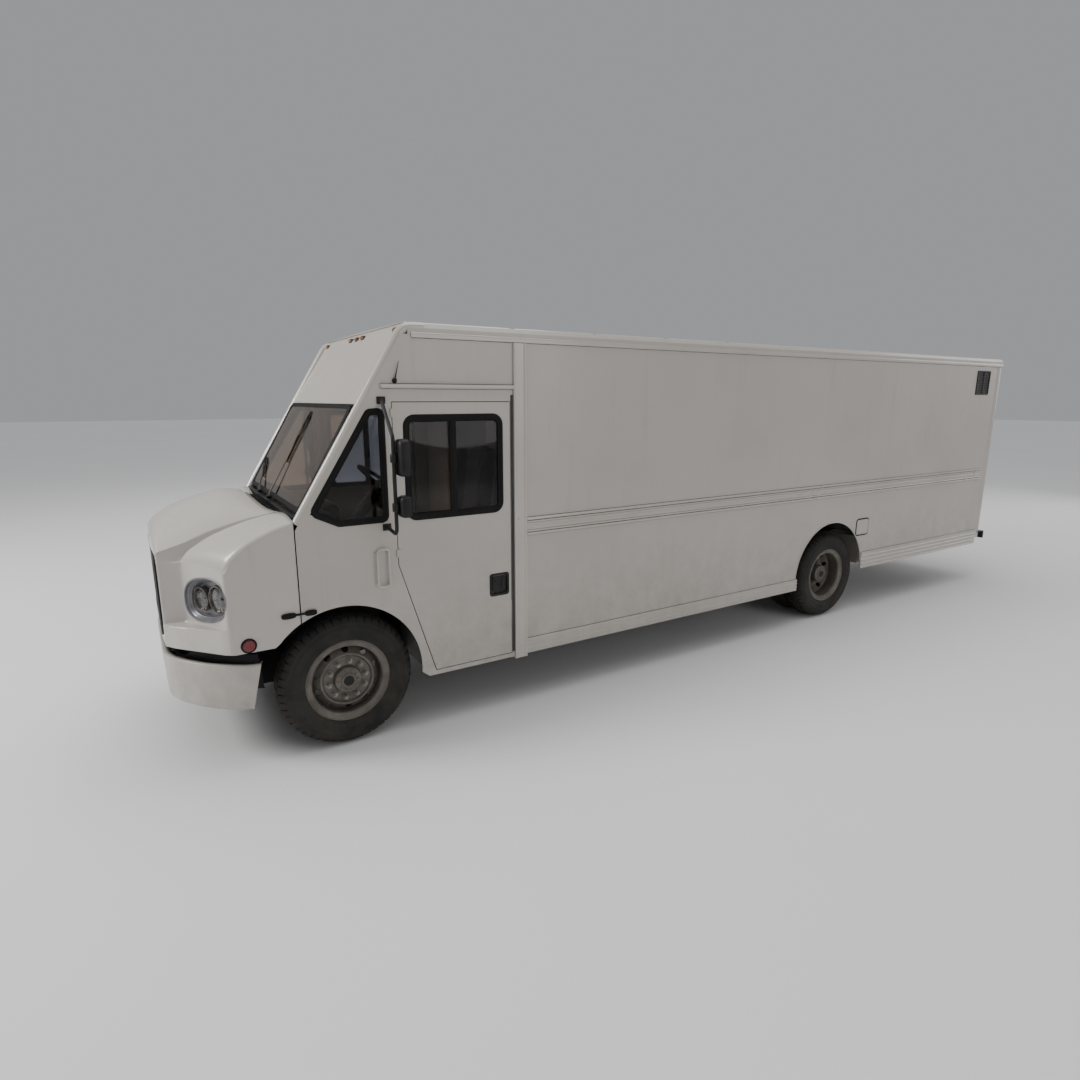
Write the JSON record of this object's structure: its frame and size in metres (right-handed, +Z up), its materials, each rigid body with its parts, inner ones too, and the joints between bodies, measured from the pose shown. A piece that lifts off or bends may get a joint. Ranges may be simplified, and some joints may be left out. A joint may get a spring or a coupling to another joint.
{
  "type": "mail delivery truck",
  "caption": "Walk-in delivery truck with a tilting hood, swing cab doors, twin rear doors, steered front wheels and dual rear wheels.",
  "frame": {"origin": "on the ground, at the centre of the truck's overall length and width", "axes": "+Z up, -Y towards the nose, +X towards the driver's side"},
  "size_m": [2.86, 10.6, 3.16],
  "materials": {
    "body_paint": "semi-gloss off-white enamel",
    "body_sheet": "painted off-white aluminium sheet",
    "hood_paint": "painted off-white moulded shell",
    "frame_steel": "black chassis paint",
    "cast_iron": "cast and machined driveline metal",
    "wheel_steel": "grey-brown painted steel wheel",
    "tyre": "matt black tread rubber",
    "black_plastic": "grained black moulding",
    "black_rubber": "soft black rubber",
    "dark_metal": "black coated metal",
    "tinted_glass": "tinted safety glass",
    "lamp_lens": "clear and coloured lamp lenses",
    "seat_fabric": "dark woven seat cloth",
    "floor_sheet": "worn floor plate"
  },
  "bodies": {
    "truck_body": {"chassis_frame": "frame_steel", "front_axle_beam": "cast_iron", "rear_axle_housing": "cast_iron", "leaf_springs": "frame_steel", "engine": "cast_iron", "propeller_shaft": "frame_steel", "fuel_tank": "body_sheet", "front_bumper": "body_paint", "rear_bumper": "dark_metal", "floor_pan": "floor_sheet", "side_panels": "body_sheet", "roof_panel": "body_sheet", "body_rails": "body_sheet", "body_posts": "body_sheet", "cab_sides": "body_sheet", "front_cap": "body_sheet", "fixed_glass": "tinted_glass", "window_gaskets": "black_rubber", "cowl_panel": "body_sheet", "dashboard": "black_plastic", "bulkhead": "body_sheet", "body_lamps": "lamp_lens", "body_fittings": "dark_metal", "mirror_arms": "dark_metal"},
    "hood": {"hood_shell": "hood_paint", "grille": "black_plastic", "hood_lamps": "lamp_lens"},
    "hood_latch_left": {"hood_latch_left": "black_rubber"},
    "cab_door_left": {"cab_door_left": "body_sheet", "door_glass_left": "tinted_glass"},
    "sliding_pane_left": {"sliding_pane_left": "tinted_glass"},
    "door_handle_left": {"door_handle_left": "black_plastic"},
    "rear_door_left": {"rear_door_left": "body_sheet"},
    "steering_knuckle_left": {"steering_knuckle_left": "cast_iron"},
    "front_wheel_left": {"front_wheel_left": "wheel_steel", "front_tyre_left": "tyre"},
    "rear_wheels_left": {"rear_wheels_left": "wheel_steel", "rear_tyres_left": "tyre"},
    "wiper_left": {"wiper_left": "black_plastic"},
    "mirror_heads_left": {"mirror_heads_left": "black_plastic"},
    "hood_latch_right": {"hood_latch_right": "black_rubber"},
    "cab_door_right": {"cab_door_right": "body_sheet", "door_glass_right": "tinted_glass"},
    "sliding_pane_right": {"sliding_pane_right": "tinted_glass"},
    "door_handle_right": {"door_handle_right": "black_plastic"},
    "rear_door_right": {"rear_door_right": "body_sheet"},
    "steering_knuckle_right": {"steering_knuckle_right": "cast_iron"},
    "front_wheel_right": {"front_wheel_right": "wheel_steel", "front_tyre_right": "tyre"},
    "rear_wheels_right": {"rear_wheels_right": "wheel_steel", "rear_tyres_right": "tyre"},
    "wiper_right": {"wiper_right": "black_plastic"},
    "mirror_heads_right": {"mirror_heads_right": "black_plastic"},
    "driver_seat": {"seat_base": "dark_metal", "seat_cushion": "seat_fabric", "seat_back": "seat_fabric"},
    "fuel_door": {"fuel_door": "body_sheet"},
    "brake_pedal": {"brake_pedal": "dark_metal"},
    "accelerator_pedal": {"accelerator_pedal": "dark_metal"},
    "steering_wheel": {"steering_wheel": "black_plastic"}
  },
  "joints": [
    {"name": "hood_tilt", "type": "hinge", "parent": "truck_body", "child": "hood", "pos_m": [0, -5.18, 0.93], "axis": [1, 0, 0], "range_deg": [0, 55]},
    {"name": "hood_latch_left_swing", "type": "hinge", "parent": "truck_body", "child": "hood_latch_left", "pos_m": [1.101, -4.322, 1.12], "axis": [0, 0, 1], "range_deg": [0, 60]},
    {"name": "cab_door_left_swing", "type": "hinge", "parent": "truck_body", "child": "cab_door_left", "pos_m": [1.107, -3.712, 1.5], "axis": [0, 0, -1], "range_deg": [0, 72]},
    {"name": "sliding_pane_left_slide", "type": "slide", "parent": "cab_door_left", "child": "sliding_pane_left", "axis": [0, 1, 0], "range_m": [0, 0.36]},
    {"name": "door_handle_left_pull", "type": "hinge", "parent": "cab_door_left", "child": "door_handle_left", "pos_m": [1.1, -2.842, 1.179], "axis": [0, -1, 0], "range_deg": [0, 25], "stiffness_Nm_per_rad": 4},
    {"name": "rear_door_left_swing", "type": "hinge", "parent": "truck_body", "child": "rear_door_left", "pos_m": [1.001, 5.196, 1.9], "axis": [0, 0, -1], "range_deg": [0, 105]},
    {"name": "hood_latch_right_swing", "type": "hinge", "parent": "truck_body", "child": "hood_latch_right", "pos_m": [-1.101, -4.322, 1.12], "axis": [0, 0, -1], "range_deg": [0, 60]},
    {"name": "cab_door_right_swing", "type": "hinge", "parent": "truck_body", "child": "cab_door_right", "pos_m": [-1.107, -3.712, 1.5], "axis": [0, 0, 1], "range_deg": [0, 72]},
    {"name": "sliding_pane_right_slide", "type": "slide", "parent": "cab_door_right", "child": "sliding_pane_right", "axis": [0, 1, 0], "range_m": [0, 0.36]},
    {"name": "door_handle_right_pull", "type": "hinge", "parent": "cab_door_right", "child": "door_handle_right", "pos_m": [-1.1, -2.842, 1.179], "axis": [0, 1, 0], "range_deg": [0, 25], "stiffness_Nm_per_rad": 4},
    {"name": "rear_door_right_swing", "type": "hinge", "parent": "truck_body", "child": "rear_door_right", "pos_m": [-1.001, 5.196, 1.9], "axis": [0, 0, 1], "range_deg": [0, 105]},
    {"name": "steer_left", "type": "hinge", "parent": "truck_body", "child": "steering_knuckle_left", "pos_m": [0.76, -4.115, 0.515], "axis": [0, 0, 1], "range_deg": [-33, 33]},
    {"name": "steer_right", "type": "hinge", "parent": "truck_body", "child": "steering_knuckle_right", "pos_m": [-0.76, -4.115, 0.515], "axis": [0, 0, 1], "range_deg": [-33, 33]},
    {"name": "front_wheel_left_spin", "type": "hinge", "parent": "steering_knuckle_left", "child": "front_wheel_left", "pos_m": [0.925, -4.115, 0.515], "axis": [1, 0, 0], "continuous": true},
    {"name": "rear_wheels_left_spin", "type": "hinge", "parent": "truck_body", "child": "rear_wheels_left", "pos_m": [0.77, 1.685, 0.515], "axis": [1, 0, 0], "continuous": true},
    {"name": "front_wheel_right_spin", "type": "hinge", "parent": "steering_knuckle_right", "child": "front_wheel_right", "pos_m": [-0.925, -4.115, 0.515], "axis": [1, 0, 0], "continuous": true},
    {"name": "rear_wheels_right_spin", "type": "hinge", "parent": "truck_body", "child": "rear_wheels_right", "pos_m": [-0.77, 1.685, 0.515], "axis": [1, 0, 0], "continuous": true},
    {"name": "steering_wheel_turn", "type": "hinge", "parent": "truck_body", "child": "steering_wheel", "pos_m": [0.6, -3.64, 1.935], "axis": [0, 0.6388, 0.7694], "range_deg": [-600, 600]},
    {"name": "wiper_left_sweep", "type": "hinge", "parent": "truck_body", "child": "wiper_left", "pos_m": [0.02, -4.40205, 1.8198], "axis": [0, 0.866, -0.5], "range_deg": [0, 50]},
    {"name": "wiper_right_sweep", "type": "hinge", "parent": "truck_body", "child": "wiper_right", "pos_m": [-0.42, -4.40205, 1.8198], "axis": [0, 0.866, -0.5], "range_deg": [0, 50]},
    {"name": "mirror_heads_left_turn", "type": "hinge", "parent": "truck_body", "child": "mirror_heads_left", "pos_m": [1.345, -3.79, 2.1], "axis": [0, 0, 1], "range_deg": [-15, 15]},
    {"name": "mirror_heads_right_turn", "type": "hinge", "parent": "truck_body", "child": "mirror_heads_right", "pos_m": [-1.345, -3.79, 2.1], "axis": [0, 0, -1], "range_deg": [-15, 15]},
    {"name": "driver_seat_slide", "type": "slide", "parent": "truck_body", "child": "driver_seat", "axis": [0, 1, 0], "range_m": [-0.1, 0.08]},
    {"name": "fuel_door_swing", "type": "hinge", "parent": "truck_body", "child": "fuel_door", "pos_m": [1.105, 2.346, 1.067], "axis": [0, 0, 1], "range_deg": [0, 100]},
    {"name": "brake_pedal_press", "type": "hinge", "parent": "truck_body", "child": "brake_pedal", "pos_m": [0.515, -4.068, 1.53], "axis": [-1, 0, 0], "range_deg": [0, 16], "stiffness_Nm_per_rad": 60},
    {"name": "accelerator_pedal_press", "type": "hinge", "parent": "truck_body", "child": "accelerator_pedal", "pos_m": [0.405, -4.068, 1.53], "axis": [-1, 0, 0], "range_deg": [0, 14], "stiffness_Nm_per_rad": 20}
  ],
  "couplings": [
    {"joint": "steer_right", "follows": "steer_left", "ratio": 1},
    {"joint": "steering_wheel_turn", "follows": "steer_left", "ratio": 18},
    {"joint": "wiper_right_sweep", "follows": "wiper_left_sweep", "ratio": 1}
  ]
}
